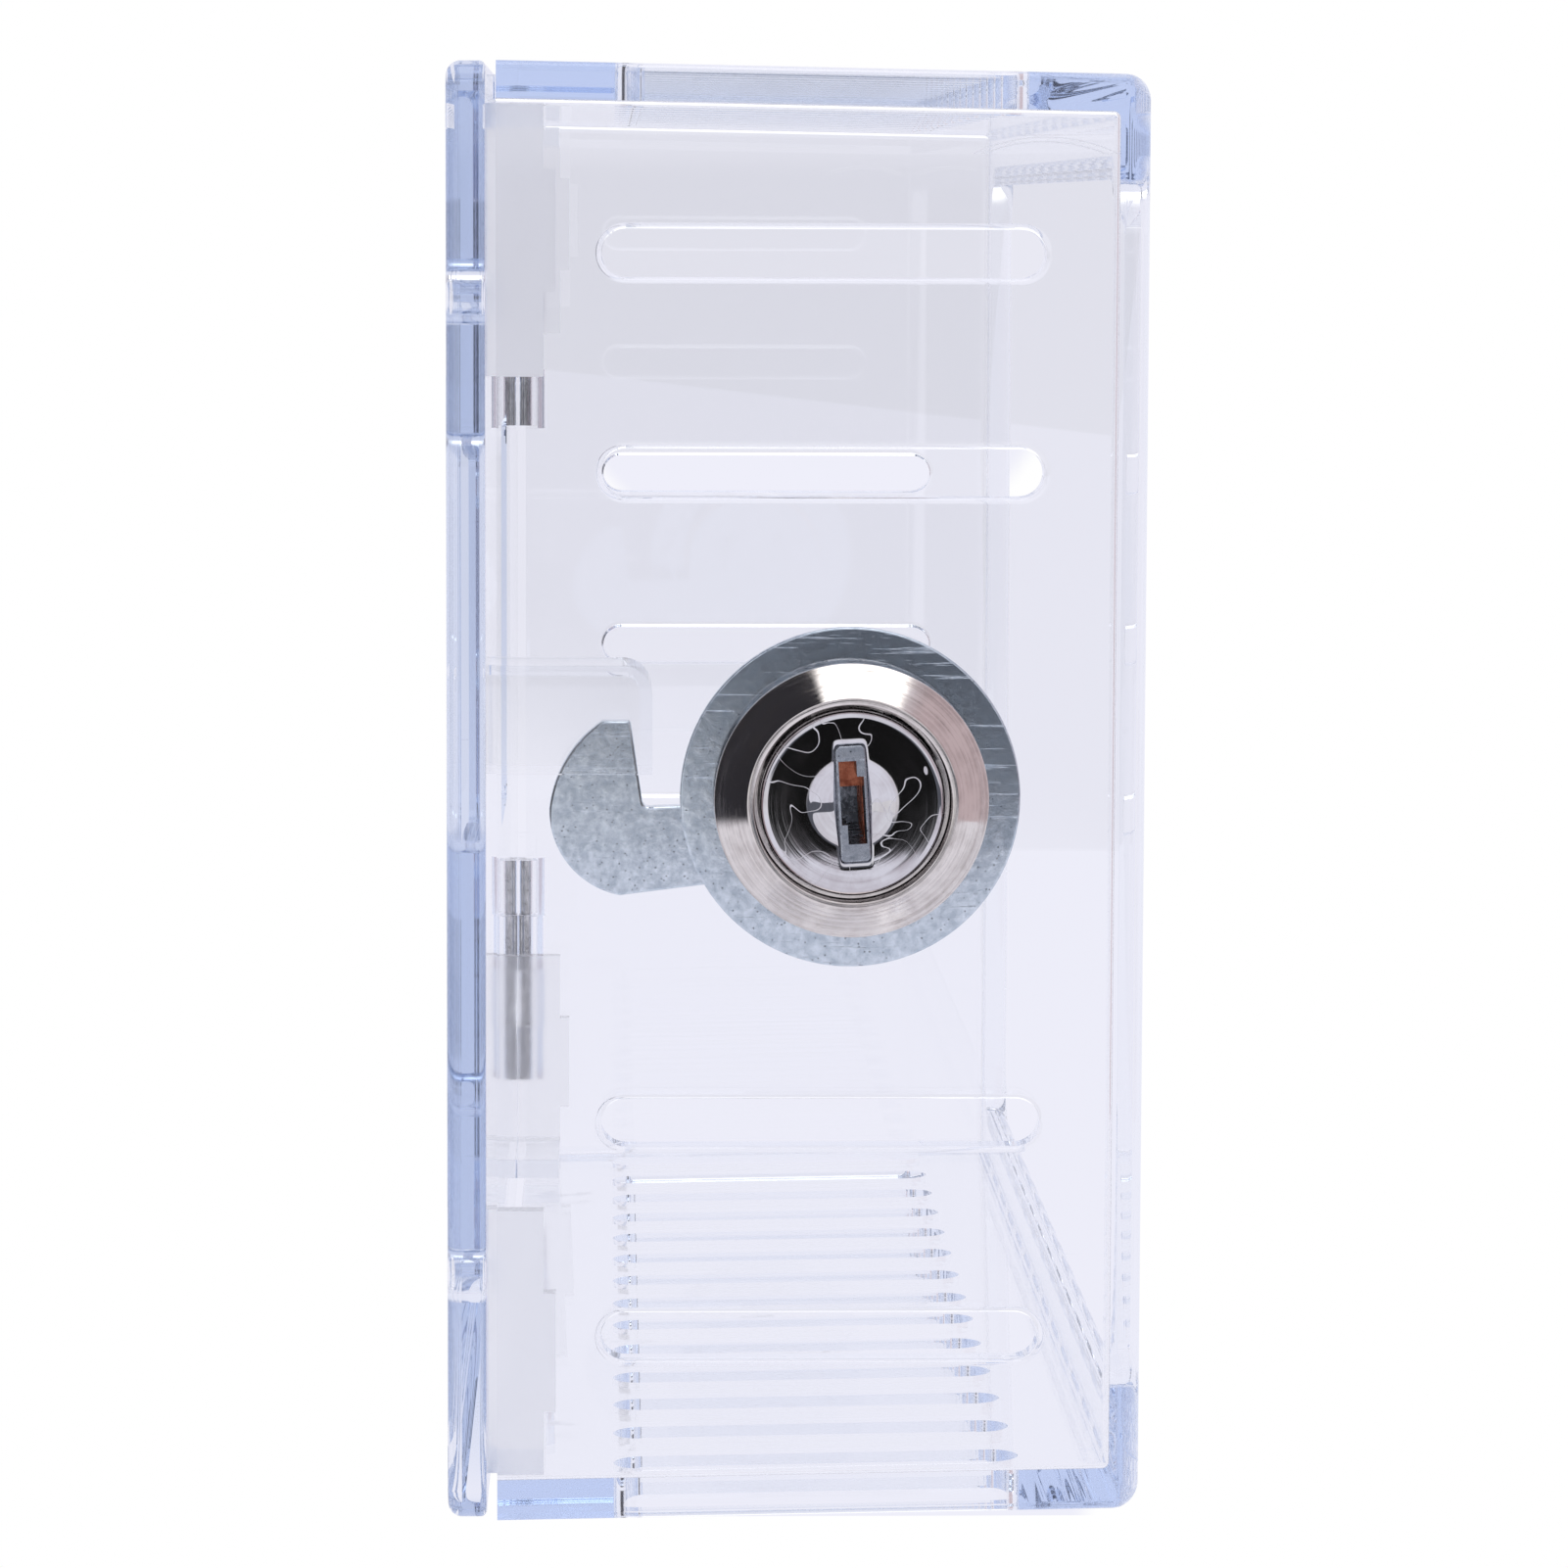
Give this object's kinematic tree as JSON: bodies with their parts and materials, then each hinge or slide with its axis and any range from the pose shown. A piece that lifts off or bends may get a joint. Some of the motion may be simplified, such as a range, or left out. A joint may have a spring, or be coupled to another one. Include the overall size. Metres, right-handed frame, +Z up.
{
  "type": "thermostat lock box",
  "caption": "Clear wall-mounted lock box with a vented, open-fronted cover on two pin hinges, a cam lock in its end wall and a base plate with a keeper.",
  "frame": {"origin": "centre of the four wall screw holes, on the base plate's back face", "axes": "+Y into the wall, +X from the lock to the hinge end, +Z up"},
  "size_m": [0.1812, 0.0573, 0.12],
  "materials": {
    "clear_base": "clear moulded acrylic, polished",
    "clear_cover": "clear moulded acrylic, polished",
    "nickel_plate": "nickel-plated, turned",
    "chrome_plate": "bright chrome",
    "zinc_plate": "zinc-plated, bluish",
    "zinc_casting": "die-cast zinc",
    "wafer_brass": "stamped, reddish brass",
    "pin_steel": "drawn steel rod",
    "spring_steel": "drawn wire"
  },
  "bodies": {
    "base": {"base_plate": "clear_base", "upper_hinge_pin": "pin_steel", "lower_hinge_pin": "pin_steel"},
    "cover": {"cover": "clear_cover", "lock_housing": "nickel_plate", "clamp_washer": "zinc_plate", "lock_nut": "zinc_plate"},
    "plug": {"lock_plug": "zinc_casting", "plug_cap": "chrome_plate", "stop_washer": "zinc_plate", "hook_cam": "zinc_plate", "spring_washer": "zinc_plate", "cam_screw": "zinc_plate", "wafer_spring_1": "spring_steel", "wafer_spring_2": "spring_steel", "wafer_spring_3": "spring_steel", "wafer_spring_4": "spring_steel", "wafer_spring_5": "spring_steel"},
    "wafer_1": {"wafer_1": "wafer_brass"},
    "wafer_2": {"wafer_2": "wafer_brass"},
    "wafer_3": {"wafer_3": "wafer_brass"},
    "wafer_4": {"wafer_4": "wafer_brass"},
    "wafer_5": {"wafer_5": "wafer_brass"}
  },
  "joints": [
    {"name": "cover_swing", "type": "hinge", "parent": "base", "child": "cover", "pos_m": [0.088, -0.0041, 0], "axis": [0, 0, 1], "range_deg": [0, 90]},
    {"name": "plug_turn", "type": "hinge", "parent": "cover", "child": "plug", "pos_m": [-0.088, -0.0331, 0], "axis": [-1, 0, 0], "range_deg": [0, 90]},
    {"name": "wafer_1_slide", "type": "slide", "parent": "plug", "child": "wafer_1", "axis": [0, 0.061, 0.9981], "range_m": [0, 0.0006], "stiffness_N_per_m": 20, "deforming": ["wafer_spring_1"]},
    {"name": "wafer_2_slide", "type": "slide", "parent": "plug", "child": "wafer_2", "axis": [0, 0.061, 0.9981], "range_m": [0, 0.0006], "stiffness_N_per_m": 20, "deforming": ["wafer_spring_2"]},
    {"name": "wafer_3_slide", "type": "slide", "parent": "plug", "child": "wafer_3", "axis": [0, 0.061, 0.9981], "range_m": [0, 0.0006], "stiffness_N_per_m": 20, "deforming": ["wafer_spring_3"]},
    {"name": "wafer_4_slide", "type": "slide", "parent": "plug", "child": "wafer_4", "axis": [0, 0.061, 0.9981], "range_m": [0, 0.0006], "stiffness_N_per_m": 20, "deforming": ["wafer_spring_4"]},
    {"name": "wafer_5_slide", "type": "slide", "parent": "plug", "child": "wafer_5", "axis": [0, 0.061, 0.9981], "range_m": [0, 0.0006], "stiffness_N_per_m": 20, "deforming": ["wafer_spring_5"]}
  ]
}
